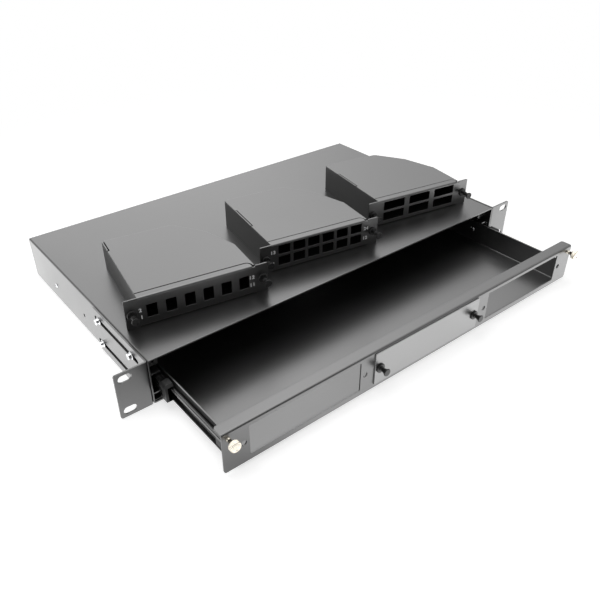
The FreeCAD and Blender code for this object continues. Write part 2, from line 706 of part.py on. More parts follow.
def grommet(origin):
    """Plastic grommet: a flange in front of the plate and a sleeve slit into four legs behind it."""
    sleeve = LATCH_R - FIT
    bore = PIN_R + FIT
    end = GROMMET_SLEEVE
    profile = [(bore, -GROMMET_H), (GROMMET_R - 0.5, -GROMMET_H), (GROMMET_R, -GROMMET_H + 0.5),
               (GROMMET_R, 0), (sleeve, 0), (sleeve, end - 0.8), (sleeve - 0.5, end), (bore, end)]
    piece = turned(profile, origin, V(0, 1, 0))
    slits = []
    for angle in (45, 135):
        slit = box(-sleeve - 1, sleeve + 1, 2 * TR_T + 0.6, end + 1, -GROMMET_SLIT / 2, GROMMET_SLIT / 2)
        slit.rotate(V(0, 0, 0), V(0, 1, 0), angle)
        slit.translate(origin)
        slits.append(slit)
    return piece.cut(slits)


def latch_pin(origin, drawn):
    """Pin of the latch; drawn is how far its trumpet-shaped knob stands off the grommet."""
    base = -GROMMET_H - drawn
    end = base - PIN_HEAD_L
    tip = GROMMET_SLEEVE - 0.4 - drawn
    profile = [(0, tip), (PIN_R - 0.4, tip), (PIN_R, tip - 0.8), (PIN_R, base), (PIN_FOOT_R, base),
               (PIN_FOOT_R, base - 0.6), (PIN_NECK_R, base - 1.2),
               (1.25 * PIN_NECK_R, base - 0.45 * PIN_HEAD_L),
               (1.7 * PIN_NECK_R, base - 0.75 * PIN_HEAD_L), (PIN_HEAD_R, end + 0.9),
               (PIN_HEAD_R, end + 0.3), (PIN_HEAD_R - 0.3, end), (0, end)]
    return turned(profile, origin, V(0, 1, 0))


def blank_plate():
    outline = rect(-BLANK_HALF, BLANK_HALF, zb(BLANK_Z0), zb(BLANK_Z1))
    panel = plate(outline, BLANK_CORNER, in_xz(-PULL - BLANK_T), V(0, BLANK_T, 0))
    return panel.cut([rod(LATCH_R, p - V(0, 1, 0), V(0, 1, 0), BLANK_T + 2) for p in blank_latches()])


def blank_latches():
    return [V(sign * LATCH_DX, -PULL - BLANK_T, zb(LATCH_Z)) for sign in (-1, 1)]


# Cassettes, built with the middle of the plate's lower edge at the origin

def on_chassis(shape, index):
    x, y = CAS_POSES[index]
    shape.rotate(V(0, 0, 0), V(0, 0, 1), CAS_YAW)
    shape.translate(V(x, y, zb(UNIT_H)))
    return shape


def inset_body(inset):
    """Body outline moved inwards, as a closed face's wire."""
    wire = Part.Wire(path_edges(CAS_BODY, CAS_BODY_R, in_xy(), True))
    return wire.makeOffset2D(-inset) if inset else wire


def wall_tab(index, grow):
    """Block on the left wall where the wall stands up into the lid's notch, grown by grow all round."""
    left = CAS_BODY[0][0]
    y0, y1 = CAS_TAB_Y[index]
    return box(left - 1, left + CAS_T + grow, y0 - grow, y1 + grow, CAS_H / 2, CAS_H)


def cassette_tray(index):
    """Floor, front plate, ears and return lip from one sheet, with the wall band set round the floor."""
    columns, pitch, rows, port_w, port_h = CAS_PORTS[index]
    under_cover = CAS_H - CAS_T
    hollow = Part.Face(inset_body(CAS_T)).extrude(V(0, 0, CAS_H))
    hollow.translate(V(0, 0, CAS_T))
    outline = Part.Face(inset_body(0))
    shell = outline.extrude(V(0, 0, under_cover)).cut(hollow)
    shell = shell.fuse(outline.extrude(V(0, 0, CAS_H)).cut(hollow).common(wall_tab(index, 0.0)))
    half = CAS_BODY[1][0]
    fold = CAS_BEND + CAS_T
    shell = shell.cut(box(-half - 1, half + 1, -1, fold + 0.4, -1, CAS_H))
    line = [(CAS_LIP, CAS_H), (0, CAS_H), (0, 0), (fold + 1, 0)]
    front = bent_sheet(line, CAS_T, CAS_BEND, in_yz(-half), V(2 * half, 0, 0))
    lip_room = [(-half, -1), (CAS_LIP_RIGHT, -1), (CAS_LIP_RIGHT, CAS_LIP), (-half, CAS_LIP)]
    lip_keep = plate(lip_room, (0, 0, CAS_LIP_R, 0), in_xy(under_cover - 0.01), V(0, 0, CAS_T + 1))
    ears = plate(rect(-CAS_PLATE_HALF, CAS_PLATE_HALF, 0, CAS_H), EAR_CORNER / 2, in_xz(), V(0, CAS_T, 0))
    middle = box(-half, half, -1, CAS_T + 1, -1, CAS_H + 1)
    below = box(-half - 1, half + 1, -1, CAS_LIP + 1, -1, under_cover)
    front = front.common(below.fuse(lip_keep))
    cuts = []
    for column in columns:
        x = column * pitch
        for z in rows:
            hole = rect(x - port_w / 2, x + port_w / 2, z - port_h / 2, z + port_h / 2)
            cuts.append(plate(hole, PORT_R, in_xz(-1), V(0, CAS_T + 3, 0)))
    for p in cassette_latches():
        cuts.append(rod(LATCH_R, p - V(0, 1, 0), V(0, 1, 0), CAS_T + 2))
    solid = fused(shell, front, ears.cut(middle)).cut(cuts)
    return on_chassis(solid, index)


def cassette_cover(index):
    """Lid lying on the walls; it runs round the lip's rounded end and is notched for the wall's tab."""
    left = CAS_BODY[0][0]
    right = CAS_BODY[1][0]
    edge = CAS_LIP + CAS_SEAM
    inner = CAS_LIP_RIGHT + CAS_SEAM
    start = CAS_BEND + CAS_T + 0.4
    points = [(left, edge), (inner, edge), (inner, start), (right, start)] + list(CAS_BODY[2:])
    radii = [0.6, CAS_LIP_R + CAS_SEAM, 0, 0.6] + list(CAS_BODY_R[2:])
    lid = plate(points, radii, in_xy(CAS_H - CAS_T), V(0, 0, CAS_T))
    return on_chassis(lid.cut(wall_tab(index, CAS_TAB_GAP)), index)


def cassette_latches():
    return [V(sign * CAS_LATCH_DX, 0, CAS_LATCH_Z) for sign in (-1, 1)]


save("chassis_wrap", chassis_wrap())
save("chassis_base", chassis_base())
save("chassis_rear", chassis_rear())
save("cable_edging_left", entry_edging(-1))
save("cable_edging_right", entry_edging(1))
both_sides("rack_ear", rack_ear())
save("ear_screws", ear_screws())
save("slide_screws", slide_screws())
both_sides("screw_tab", screw_tab())
both_sides("slide_outer", slide_outer())
both_sides("slide_mid", slide_mid())
both_sides("slide_inner", slide_inner())
both_sides("slide_retainer", slide_retainer())
both_sides("slide_buffer", slide_buffer())
both_sides("cage_outer", ball_cage(CAGE_A_WEB, ROW_A, CAGE_A_Y))
both_sides("cage_inner", ball_cage(CAGE_B_WEB, ROW_B, CAGE_B_Y))
both_sides("balls_outer", Part.makeCompound(balls(ROW_A, CAGE_A_Y)))
both_sides("balls_inner", Part.makeCompound(balls(ROW_B, CAGE_B_Y)))
save("drawer_tray", drawer_tray())
save("tray_rivets", tray_rivets())
both_sides("thumbscrew", thumbscrew())
both_sides("thumb_ring", thumb_ring())
save("blank_plate", blank_plate())
save("blank_grommets", [grommet(p) for p in blank_latches()])
for side_name, spot in zip(("left", "right"), blank_latches()):
    save("blank_pin_" + side_name, latch_pin(spot, 0.0))
for index in range(len(CAS_POSES)):
    name = "cassette_%d_" % (index + 1)
    save(name + "tray", cassette_tray(index))
    save(name + "cover", cassette_cover(index))
    save(name + "grommets", [on_chassis(grommet(p), index) for p in cassette_latches()])
    for side_name, spot in zip(("left", "right"), cassette_latches()):
        save(name + "pin_" + side_name, on_chassis(latch_pin(spot, PIN_STROKE), index))
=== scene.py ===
import math

import bpy
import numpy as np
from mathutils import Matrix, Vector


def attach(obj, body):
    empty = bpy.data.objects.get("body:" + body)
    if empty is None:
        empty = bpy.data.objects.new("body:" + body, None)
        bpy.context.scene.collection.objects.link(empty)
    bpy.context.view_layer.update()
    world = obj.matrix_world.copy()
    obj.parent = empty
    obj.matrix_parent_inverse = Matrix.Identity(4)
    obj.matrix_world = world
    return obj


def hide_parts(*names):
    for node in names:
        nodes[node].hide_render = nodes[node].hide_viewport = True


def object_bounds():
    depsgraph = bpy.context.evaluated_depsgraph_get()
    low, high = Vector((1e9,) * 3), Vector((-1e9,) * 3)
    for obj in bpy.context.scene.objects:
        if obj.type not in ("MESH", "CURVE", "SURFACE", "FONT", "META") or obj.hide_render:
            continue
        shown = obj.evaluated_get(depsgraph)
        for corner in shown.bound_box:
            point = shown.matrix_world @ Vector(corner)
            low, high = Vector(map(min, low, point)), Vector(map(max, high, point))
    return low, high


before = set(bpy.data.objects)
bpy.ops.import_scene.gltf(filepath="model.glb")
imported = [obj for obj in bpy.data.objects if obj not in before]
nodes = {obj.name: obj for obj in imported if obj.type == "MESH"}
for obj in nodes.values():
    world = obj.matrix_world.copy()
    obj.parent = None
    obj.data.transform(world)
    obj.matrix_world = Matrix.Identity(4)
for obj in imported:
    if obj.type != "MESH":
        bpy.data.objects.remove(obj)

cad_low, cad_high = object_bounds()

# The viewpoint: the drawer seen from its left front corner and from above, as a catalogue shows it.
# The place and lens were fitted to the straight edges of the chassis and the drawer.

CAMERA_AT = (-0.36883, -0.38190, 0.34763)
CAMERA_TURN = math.radians(38.8648)
CAMERA_DIP = math.radians(34.1421)
CAMERA_LENS = 39.628
SENSOR_WIDTH = 36
CAMERA_NEAR = 0.02

camera = bpy.data.objects.new("camera", bpy.data.cameras.new("camera"))
bpy.context.scene.collection.objects.link(camera)
camera.location = CAMERA_AT
camera.rotation_euler = (math.pi / 2 - CAMERA_DIP, 0, -CAMERA_TURN)
camera.data.lens = CAMERA_LENS
camera.data.sensor_width = SENSOR_WIDTH
camera.data.clip_start = CAMERA_NEAR
bpy.context.scene.camera = camera
bpy.context.scene.view_settings.view_transform = "Standard"


# The table: a sheet of white paper that the drawer stands on, which keeps its soft shadow and fades
# to plain white further off. The black gloss mirrors it overexposed, as in a catalogue picture: the
# paper glows brighter for reflections only, with a painted shadow by the left front corner and painted
# shade on the camera's side.

TABLE_HALF = 2.6
TABLE_DROP = 0.0001
TABLE_PAPER = 0.80
TABLE_GLOW = 0.60
WHITE_FROM = 0.36
WHITE_AT = 0.75

# The painted glare that the gloss mirrors, and its shares by distance from the corner of the painted
# shadow, as parts of the reach.
# Also its share on the camera's side, by y, which is painted shade: under zero, it takes from the
# paper's own glow.

TABLE_GLARE = 1.25
PAINTED_SHADOW_AT = (-0.215, -0.075, 0)
PAINTED_SHADOW_REACH = 0.45
PAINTED_SHADOW_SHARES = ((0.10, 0.02), (0.23, 0.66), (0.60, 0.70), (1.0, 1.0))
SHADE_SHARE = -0.4
SHADE_FROM = -0.52
SHADE_TO = -0.20


def bare_material(name):
    """A node material with nothing in it yet."""
    material = bpy.data.materials.new(name)
    material.use_nodes = True
    material.node_tree.nodes.clear()
    return material


def shader(material, kind, **inputs):
    """A node of this kind in the material, with its plain inputs set by name."""
    node = material.node_tree.nodes.new(kind)
    for name, value in inputs.items():
        node.inputs[name.replace("_", " ")].default_value = value
    return node


def wire(material, source, target):
    """A link from one node's output to another's input."""
    material.node_tree.links.new(source, target)


def reckon(material, operation, first, second):
    """The result of a Math node on two inputs; each is a socket, or a plain number."""
    node = material.node_tree.nodes.new("ShaderNodeMath")
    node.operation = operation
    for socket, value in zip(node.inputs, (first, second)):
        if isinstance(value, (int, float)):
            socket.default_value = value
        else:
            wire(material, value, socket)
    return node.outputs[0]


def set_stops(ramp, stops):
    """Sets a colour ramp to grey stops, each a place from 0 to 1 and a share of white."""
    for place, grey in stops[2:]:
        ramp.elements.new(place)
    for stop, (place, grey) in zip(ramp.elements, stops):
        stop.position = place
        stop.color = (grey, grey, grey, 1)


def soft_step(material, start, end, low, high):
    """A Map Range node that eases from low at start to high at end."""
    node = shader(material, "ShaderNodeMapRange", From_Min=start, From_Max=end,
                  To_Min=low, To_Max=high)
    node.interpolation_type = "SMOOTHSTEP"
    return node


def mesh_piece(name, points, faces):
    """A smooth mesh object at the origin, from an array of points and a list of face index arrays."""
    mesh = bpy.data.meshes.new(name)
    mesh.from_pydata(points.tolist(), [], [face for block in faces for face in block.tolist()])
    mesh.polygons.foreach_set("use_smooth", np.ones(len(mesh.polygons), dtype=bool))
    mesh.update()
    piece = bpy.data.objects.new(name, mesh)
    bpy.context.scene.collection.objects.link(piece)
    return piece


def table_sheet():
    """Square at the height of the CAD box's underside: x and y are plus and minus the half side."""
    x, y = np.meshgrid((-TABLE_HALF, TABLE_HALF), (-TABLE_HALF, TABLE_HALF))
    z = np.full(4, cad_low.z - TABLE_DROP)
    points = np.column_stack((x.ravel(), y.ravel(), z))
    return mesh_piece("table", points, [np.array([[0, 1, 3, 2]])])


table = table_sheet()

paper = bare_material("table_paper")
paper_out = shader(paper, "ShaderNodeOutputMaterial")
paper_tone = (TABLE_PAPER, TABLE_PAPER, TABLE_PAPER, 1)
paper_body = shader(paper, "ShaderNodeBsdfDiffuse", Color=paper_tone)
paper_glow = shader(paper, "ShaderNodeEmission", Color=(1, 1, 1, 1))
paper_white = shader(paper, "ShaderNodeEmission", Color=(1, 1, 1, 1))
paper_rays = shader(paper, "ShaderNodeLightPath")
paper_looked = reckon(paper, "MAXIMUM", paper_rays.outputs["Is Camera Ray"],
                      paper_rays.outputs["Is Transmission Ray"])
paper_seen = reckon(paper, "MAXIMUM", paper_looked, paper_rays.outputs["Is Glossy Ray"])
paper_place = shader(paper, "ShaderNodeTexCoord")
paper_off = shader(paper, "ShaderNodeVectorMath")
paper_off.operation = "DISTANCE"
paper_off.inputs[1].default_value = PAINTED_SHADOW_AT
# Painted shadow in the paper's glare by the left front corner, and painted shade on the camera's side.
paper_painted_shadow = shader(paper, "ShaderNodeValToRGB")
set_stops(paper_painted_shadow.color_ramp, PAINTED_SHADOW_SHARES)
wire(paper, paper_place.outputs["Object"], paper_off.inputs[0])
paper_away = reckon(paper, "DIVIDE", paper_off.outputs["Value"], PAINTED_SHADOW_REACH)
wire(paper, paper_away, paper_painted_shadow.inputs["Fac"])
paper_parts = shader(paper, "ShaderNodeSeparateXYZ")
paper_front = soft_step(paper, SHADE_FROM, SHADE_TO, TABLE_GLARE * SHADE_SHARE, TABLE_GLARE)
wire(paper, paper_place.outputs["Object"], paper_parts.inputs[0])
wire(paper, paper_parts.outputs["Y"], paper_front.inputs["Value"])
paper_far = reckon(paper, "MULTIPLY", paper_painted_shadow.outputs["Color"], paper_front.outputs["Result"])
paper_glare = reckon(paper, "MULTIPLY", paper_rays.outputs["Is Glossy Ray"], paper_far)
paper_level = reckon(paper, "MULTIPLY", paper_seen, TABLE_GLOW)
wire(paper, reckon(paper, "ADD", paper_glare, paper_level), paper_glow.inputs["Strength"])
wire(paper, reckon(paper, "ADD", paper_glare, 1.0), paper_white.inputs["Strength"])
paper_lit = shader(paper, "ShaderNodeAddShader")
paper_fade = shader(paper, "ShaderNodeMixShader")
paper_reach = shader(paper, "ShaderNodeVectorMath")
paper_reach.operation = "LENGTH"
paper_ramp = soft_step(paper, WHITE_FROM, WHITE_AT, 0.0, 1.0)
wire(paper, paper_place.outputs["Object"], paper_reach.inputs[0])
wire(paper, paper_reach.outputs["Value"], paper_ramp.inputs["Value"])
wire(paper, paper_body.outputs[0], paper_lit.inputs[0])
wire(paper, paper_glow.outputs[0], paper_lit.inputs[1])
paper_share = reckon(paper, "MULTIPLY", paper_ramp.outputs["Result"], paper_seen)
wire(paper, paper_share, paper_fade.inputs[0])
wire(paper, paper_lit.outputs[0], paper_fade.inputs[1])
wire(paper, paper_white.outputs[0], paper_fade.inputs[2])
wire(paper, paper_fade.outputs[0], paper_out.inputs["Surface"])
table.data.materials.append(paper)


# The studio: a bright white room, brightest overhead and darker at both sides and on the camera's
# side, with a large soft box behind the drawer. The black gloss mirrors it overexposed; what falls
# on the drawer is the plain fill and three soft lamps.

ROOM_FILL = 0.34
LAMPS = (
    ("lamp_over", (-0.4, 0.2, 1.6), 1.4, 1.2, 9),
    ("lamp_left", (-1.5, 0.2, 0.8), 1.0, 1.0, 3),
    ("lamp_right", (1.3, -0.9, 0.9), 1.0, 1.0, 2),
)

# The glare that the gloss mirrors, and its shares by direction: across the room from left to right,
# towards the camera's side, overhead, and at the soft box.

ROOM_GLARE = 1.8
ROOM_ACROSS = ((0.48, 0.44), (0.61, 1.06), (0.72, 1.0), (0.88, 0.50))
FRONT_SHARE = 0.14
FRONT_FROM = -0.75
FRONT_TO = 0.10
CEILING_MORE = 0.4
CEILING_FROM = 0.64
CEILING_TO = 0.95
BOX_GLARE = 0.7
BOX_WAY = (0.57, 0.50, 0.65)
BOX_FROM = 0.945
BOX_AT = 0.99

room = bpy.data.worlds.new("room")
bpy.context.scene.world = room
room.use_nodes = True
room.node_tree.nodes.clear()
room_out = shader(room, "ShaderNodeOutputWorld")
room_fill = shader(room, "ShaderNodeBackground", Color=(1, 1, 1, 1), Strength=ROOM_FILL)
room_white = shader(room, "ShaderNodeBackground", Color=(1, 1, 1, 1), Strength=1.0)
room_bright = shader(room, "ShaderNodeBackground", Color=(1, 1, 1, 1))
room_rays = shader(room, "ShaderNodeLightPath")
room_way = shader(room, "ShaderNodeTexCoord")
room_parts = shader(room, "ShaderNodeSeparateXYZ")
room_across = shader(room, "ShaderNodeMapRange", From_Min=-1.0, From_Max=1.0)
room_ramp = shader(room, "ShaderNodeValToRGB")
room_ramp.color_ramp.interpolation = "EASE"
set_stops(room_ramp.color_ramp, ROOM_ACROSS)
room_toward = shader(room, "ShaderNodeVectorMath")
room_toward.operation = "DOT_PRODUCT"
room_toward.inputs[1].default_value = BOX_WAY
room_box = soft_step(room, BOX_FROM, BOX_AT, 0.0, BOX_GLARE)
wire(room, room_way.outputs["Generated"], room_parts.inputs[0])
wire(room, room_parts.outputs["X"], room_across.inputs["Value"])
wire(room, room_across.outputs["Result"], room_ramp.inputs["Fac"])
wire(room, room_way.outputs["Generated"], room_toward.inputs[0])
wire(room, room_toward.outputs["Value"], room_box.inputs["Value"])
room_front = soft_step(room, FRONT_FROM, FRONT_TO, ROOM_GLARE * FRONT_SHARE, ROOM_GLARE)
wire(room, room_parts.outputs["Y"], room_front.inputs["Value"])
room_above = soft_step(room, CEILING_FROM, CEILING_TO, 1.0, 1.0 + CEILING_MORE)
wire(room, room_parts.outputs["Z"], room_above.inputs["Value"])
room_sides = reckon(room, "MULTIPLY", room_ramp.outputs["Color"], room_front.outputs["Result"])
room_level = reckon(room, "MULTIPLY", room_sides, room_above.outputs["Result"])
room_boxed = reckon(room, "ADD", room_level, room_box.outputs["Result"])
wire(room, room_boxed, room_bright.inputs["Strength"])
room_plain = shader(room, "ShaderNodeMixShader")
room_mix = shader(room, "ShaderNodeMixShader")
room_seen = reckon(room, "MAXIMUM", room_rays.outputs["Is Camera Ray"],
                   room_rays.outputs["Is Transmission Ray"])
wire(room, room_seen, room_plain.inputs[0])
wire(room, room_fill.outputs[0], room_plain.inputs[1])
wire(room, room_white.outputs[0], room_plain.inputs[2])
wire(room, room_rays.outputs["Is Glossy Ray"], room_mix.inputs[0])
wire(room, room_plain.outputs[0], room_mix.inputs[1])
wire(room, room_bright.outputs[0], room_mix.inputs[2])
wire(room, room_mix.outputs[0], room_out.inputs["Surface"])

for lamp_name, lamp_at, lamp_wide, lamp_deep, watts in LAMPS:
    lamp = bpy.data.objects.new(lamp_name, bpy.data.lights.new(lamp_name, "AREA"))
    bpy.context.scene.collection.objects.link(lamp)
    lamp.location = lamp_at
    lamp.rotation_euler = (-Vector(lamp_at)).to_track_quat("-Z", "Y").to_euler()
    lamp.data.shape = "RECTANGLE"
    lamp.data.size = lamp_wide
    lamp.data.size_y = lamp_deep
    lamp.data.energy = watts


# Chassis: a wrap of 1.2 mm steel for top and sides, and a joggled base with the rear wall welded to
# it, all folded and powder coated satin black. The coat shows little of its own tone and more of
# what it mirrors.

WELD_REACH = 2e-6
FOLD_ANGLE = math.radians(32)
COAT_TONE = 0.008
COAT_ROUGH = 0.30
COAT_IOR = 2.15
GRAIN_SCALE = 1500.0
GRAIN_HEIGHT = 0.00012
PEEL_SCALE = 260.0
PEEL_HEIGHT = 0.0003
CLOUD_SCALE = 9.0
EDGE_ROUND = 0.00045
EDGE_SAMPLES = 4


def smooth_folds():
    """Modifier group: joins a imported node's loose triangles and smooths its folds, not its edges."""
    group = bpy.data.node_groups.new("smooth_folds", "GeometryNodeTree")
    group.interface.new_socket("Geometry", in_out="INPUT", socket_type="NodeSocketGeometry")
    group.interface.new_socket("Geometry", in_out="OUTPUT", socket_type="NodeSocketGeometry")
    start = group.nodes.new("NodeGroupInput")
    end = group.nodes.new("NodeGroupOutput")
    weld = group.nodes.new("GeometryNodeMergeByDistance")
    weld.inputs["Distance"].default_value = WELD_REACH
    faces = group.nodes.new("GeometryNodeSetShadeSmooth")
    faces.domain = "FACE"
    edges = group.nodes.new("GeometryNodeSetShadeSmooth")
    edges.domain = "EDGE"
    edges.inputs["Shade Smooth"].default_value = False
    angle = group.nodes.new("GeometryNodeInputMeshEdgeAngle")
    sharp = group.nodes.new("ShaderNodeMath")
    sharp.operation = "GREATER_THAN"
    sharp.inputs[1].default_value = FOLD_ANGLE
    links = group.links
    links.new(start.outputs[0], weld.inputs["Geometry"])
    links.new(weld.outputs["Geometry"], faces.inputs["Geometry"])
    links.new(faces.outputs["Geometry"], edges.inputs["Geometry"])
    links.new(angle.outputs["Unsigned Angle"], sharp.inputs[0])
    links.new(sharp.outputs[0], edges.inputs["Selection"])
    links.new(edges.outputs["Geometry"], end.inputs[0])
    return group


fold_group = smooth_folds()


def dress(node_name, material):
    """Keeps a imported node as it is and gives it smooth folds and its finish."""
    piece = nodes[node_name]
    piece.data.materials.clear()
    piece.data.materials.append(material)
    piece.modifiers.new("folds", "NODES").node_group = fold_group


def spread(material, noise, reach, low, high):
    """A noise from reach under its middle, 0.5, to reach over it, spread out from low to high."""
    node = shader(material, "ShaderNodeMapRange", From_Min=0.5 - reach, From_Max=0.5 + reach,
                  To_Min=low, To_Max=high)
    wire(material, noise.outputs["Fac"], node.inputs["Value"])
    return node.outputs["Result"]


def soft_edge(material, radius):
    """Normals that round the edges off in the picture, by this radius."""
    node = shader(material, "ShaderNodeBevel", Radius=radius)
    node.samples = EDGE_SAMPLES
    return node.outputs["Normal"]


def powder_coat(name, ior=COAT_IOR, rough=COAT_ROUGH):
    """Black powder coat on rounded sheet edges: fine orange peel over a cloudy tone and gloss."""
    coat = bare_material(name)
    out = shader(coat, "ShaderNodeOutputMaterial")
    body = shader(coat, "ShaderNodeBsdfPrincipled", IOR=ior)
    place = shader(coat, "ShaderNodeTexCoord")
    grain = shader(coat, "ShaderNodeTexNoise", Scale=GRAIN_SCALE, Detail=3.0, Roughness=0.55)
    peel = shader(coat, "ShaderNodeTexNoise", Scale=PEEL_SCALE, Detail=2.0, Roughness=0.5)
    cloud = shader(coat, "ShaderNodeTexNoise", Scale=CLOUD_SCALE, Detail=4.0, Roughness=0.6)
    for texture in (grain, peel, cloud):
        wire(coat, place.outputs["Object"], texture.inputs["Vector"])
    tint = spread(coat, cloud, 0.2, COAT_TONE * 0.8, COAT_TONE * 1.25)
    gloss = spread(coat, cloud, 0.25, rough - 0.03, rough + 0.04)
    wire(coat, tint, body.inputs["Base Color"])
    wire(coat, gloss, body.inputs["Roughness"])
    fine = shader(coat, "ShaderNodeBump", Strength=0.05, Distance=GRAIN_HEIGHT)
    broad = shader(coat, "ShaderNodeBump", Strength=0.05, Distance=PEEL_HEIGHT)
    wire(coat, grain.outputs["Fac"], fine.inputs["Height"])
    wire(coat, soft_edge(coat, EDGE_ROUND), fine.inputs["Normal"])
    wire(coat, peel.outputs["Fac"], broad.inputs["Height"])
    wire(coat, fine.outputs["Normal"], broad.inputs["Normal"])
    wire(coat, broad.outputs["Normal"], body.inputs["Normal"])
    wire(coat, body.outputs["BSDF"], out.inputs["Surface"])
    return coat


black_coat = powder_coat("black_powder_coat")
dress("chassis_wrap", black_coat)
dress("chassis_base", black_coat)
dress("chassis_rear", black_coat)


# Rack ears: 1.5 mm steel angles, each with two slots for the rack screws and two long slots on its
# leg, in which it is moved along the chassis side before its screws are tightened.

for side in ("left", "right"):
    dress("rack_ear_" + side, black_coat)


# Ear screws: bright zinc machine screws, pressed with a round flange under the pan and a cross
# recess, two in each slot of the ear's leg, with their ends flush with the chassis wall.

EAR_SCREW_SEAT = 0.2142
EAR_SCREW_Y = (0.0265, 0.087)
EAR_SCREW_RISE = 0.0122
FLANGE_R = 0.0035
PAN_R = 0.0028
PAN_H = 0.0036
SHANK_R = 0.0019
SHANK_L = 0.0016
CROSS_REACH = 0.0017
CROSS_WIDTH = 0.00035
CROSS_DEPTH = 0.0012
CROSS_SIDE_SLOPE = 0.35
CROSS_END_SLOPE = 0.25
CROWN_ROWS = 14
EAR_SCREW_SECTORS = 64
ZINC_TONE = (0.66, 0.67, 0.68)
ZINC_ROUGH = 0.16
METAL_EDGE_ROUND = 0.00012
PLATING_STREAKS = (900, 900, 900)


def turned_skin(profile, sectors, relief):
    """Skin of a turned piece: (radius, height) rows carried round the height axis. The point at angle
    a is (r cos a, r sin a, h); relief gives what is added to r and to h there. The first and last
    rows lie on the axis and become one point each."""
    rows = np.asarray(profile, dtype=float)
    ring = rows[1:-1]
    angle = np.arange(sectors) * (2 * math.pi / sectors)
    r = np.repeat(ring[:, :1], sectors, axis=1)
    h = np.repeat(ring[:, 1:], sectors, axis=1)
    a = np.tile(angle, (len(ring), 1))
    more_r, more_h = relief(r, h, a)
    r = r + more_r
    h = h + more_h
    grid = np.stack((r * np.cos(a), r * np.sin(a), h), axis=2).reshape(-1, 3)
    points = np.vstack((grid, [[0, 0, rows[0, 1]], [0, 0, rows[-1, 1]]]))
    i = np.arange(len(ring) - 1)[:, None] * sectors
    j = np.arange(sectors)[None, :]
    k = (j + 1) % sectors
    quads = np.stack((i + j, i + sectors + j, i + sectors + k, i + k), axis=2).reshape(-1, 4)
    last = (len(ring) - 1) * sectors
    top = np.column_stack((np.full(sectors, len(grid)), j[0], k[0]))
    bottom = np.column_stack((np.full(sectors, len(grid) + 1), last + k[0], last + j[0]))
    return points, [quads, top, bottom]


def laid_along(points, origin, direction):
    """Points turned so that their height axis runs along direction, and moved to origin."""
    turn = Vector((0, 0, 1)).rotation_difference(Vector(direction)).to_matrix()
    return points @ np.array(turn).T + np.array(origin)


def joined_skins(skins):
    """Several skins as one: their points in a row, and their faces counted on."""
    points = np.vstack([skin[0] for skin in skins])
    starts = np.cumsum([0] + [len(skin[0]) for skin in skins[:-1]])
    faces = [block + start for skin, start in zip(skins, starts) for block in skin[1]]
    return points, faces


def cross_recess(reach, width, depth):
    """Relief of a cross recess: the height sinks by depth where the smaller of |x| and |y| is under
    width and the radius is under reach. The walls slope over a share of the width and the reach."""
    def relief(r, h, a):
        x = np.abs(r * np.cos(a))
        y = np.abs(r * np.sin(a))
        arm = np.clip((width - np.minimum(x, y)) / (CROSS_SIDE_SLOPE * width) + 0.5, 0, 1)
        inside = np.clip((reach - r) / (CROSS_END_SLOPE * reach), 0, 1) * (h > 0)
        return 0 * r, -depth * arm * inside
    return relief


def flanged_head():
    """Profile from the crown down: a shallow dome, the pan's side, the flange, and the shank."""
    crown = np.linspace(0, 1, CROWN_ROWS)[:, None]
    dome = np.hstack((crown * PAN_R * 0.86, PAN_H * (1 - 0.06 * crown ** 3)))
    rest = [(PAN_R * 0.96, PAN_H * 0.88), (PAN_R, PAN_H * 0.76), (PAN_R, PAN_H * 0.24),
            (PAN_R * 1.03, PAN_H * 0.19), (FLANGE_R * 0.97, PAN_H * 0.17), (FLANGE_R, PAN_H * 0.12),
            (FLANGE_R, 0), (SHANK_R, 0), (SHANK_R, -SHANK_L), (0, -SHANK_L)]
    return np.vstack((dome, rest))


def bright_metal(name, colour, rough, streaks=PLATING_STREAKS):
    """Bright metal with soft edges: its tone and gloss vary with one noise, whose scales along x, y
    and z are streaks."""
    metal = bare_material(name)
    out = shader(metal, "ShaderNodeOutputMaterial")
    body = shader(metal, "ShaderNodeBsdfPrincipled", Metallic=1.0)
    place = shader(metal, "ShaderNodeTexCoord")
    stretch = shader(metal, "ShaderNodeMapping", Scale=streaks)
    streak = shader(metal, "ShaderNodeTexNoise", Scale=1.0, Detail=3.0, Roughness=0.6)
    wire(metal, place.outputs["Object"], stretch.inputs["Vector"])
    wire(metal, stretch.outputs["Vector"], streak.inputs["Vector"])
    tint = shader(metal, "ShaderNodeValToRGB")
    for stop, place_at, share in zip(tint.color_ramp.elements, (0.3, 0.7), (0.86, 1.1)):
        stop.position = place_at
        stop.color = [min(1.0, share * part) for part in colour] + [1]
    gloss = spread(metal, streak, 0.2, rough - 0.04, rough + 0.07)
    wire(metal, streak.outputs["Fac"], tint.inputs["Fac"])
    wire(metal, tint.outputs["Color"], body.inputs["Base Color"])
    wire(metal, gloss, body.inputs["Roughness"])
    wire(metal, soft_edge(metal, METAL_EDGE_ROUND), body.inputs["Normal"])
    wire(metal, body.outputs["BSDF"], out.inputs["Surface"])
    return metal


bright_zinc = bright_metal("bright_zinc", ZINC_TONE, ZINC_ROUGH)
ear_recess = cross_recess(CROSS_REACH, CROSS_WIDTH, CROSS_DEPTH)
ear_head, ear_head_faces = turned_skin(flanged_head(), EAR_SCREW_SECTORS, ear_recess)
ear_heads = []
for side_x in (-1, 1):
    for screw_y in EAR_SCREW_Y:
        for rise in (-EAR_SCREW_RISE, EAR_SCREW_RISE):
            seat = (side_x * EAR_SCREW_SEAT, screw_y, rise)
            ear_heads.append((laid_along(ear_head, seat, (side_x, 0, 0)), ear_head_faces))
ear_screws = mesh_piece("ear_screws_pressed", *joined_skins(ear_heads))
ear_screws.data.materials.append(bright_zinc)
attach(ear_screws, "chassis")
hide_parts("ear_screws")


# Slide screws: two a side, of the same zinc, with low domed heads and a cross recess. The rear ones
# are driven from outside, and the front ones from inside, under the leg of the ear.

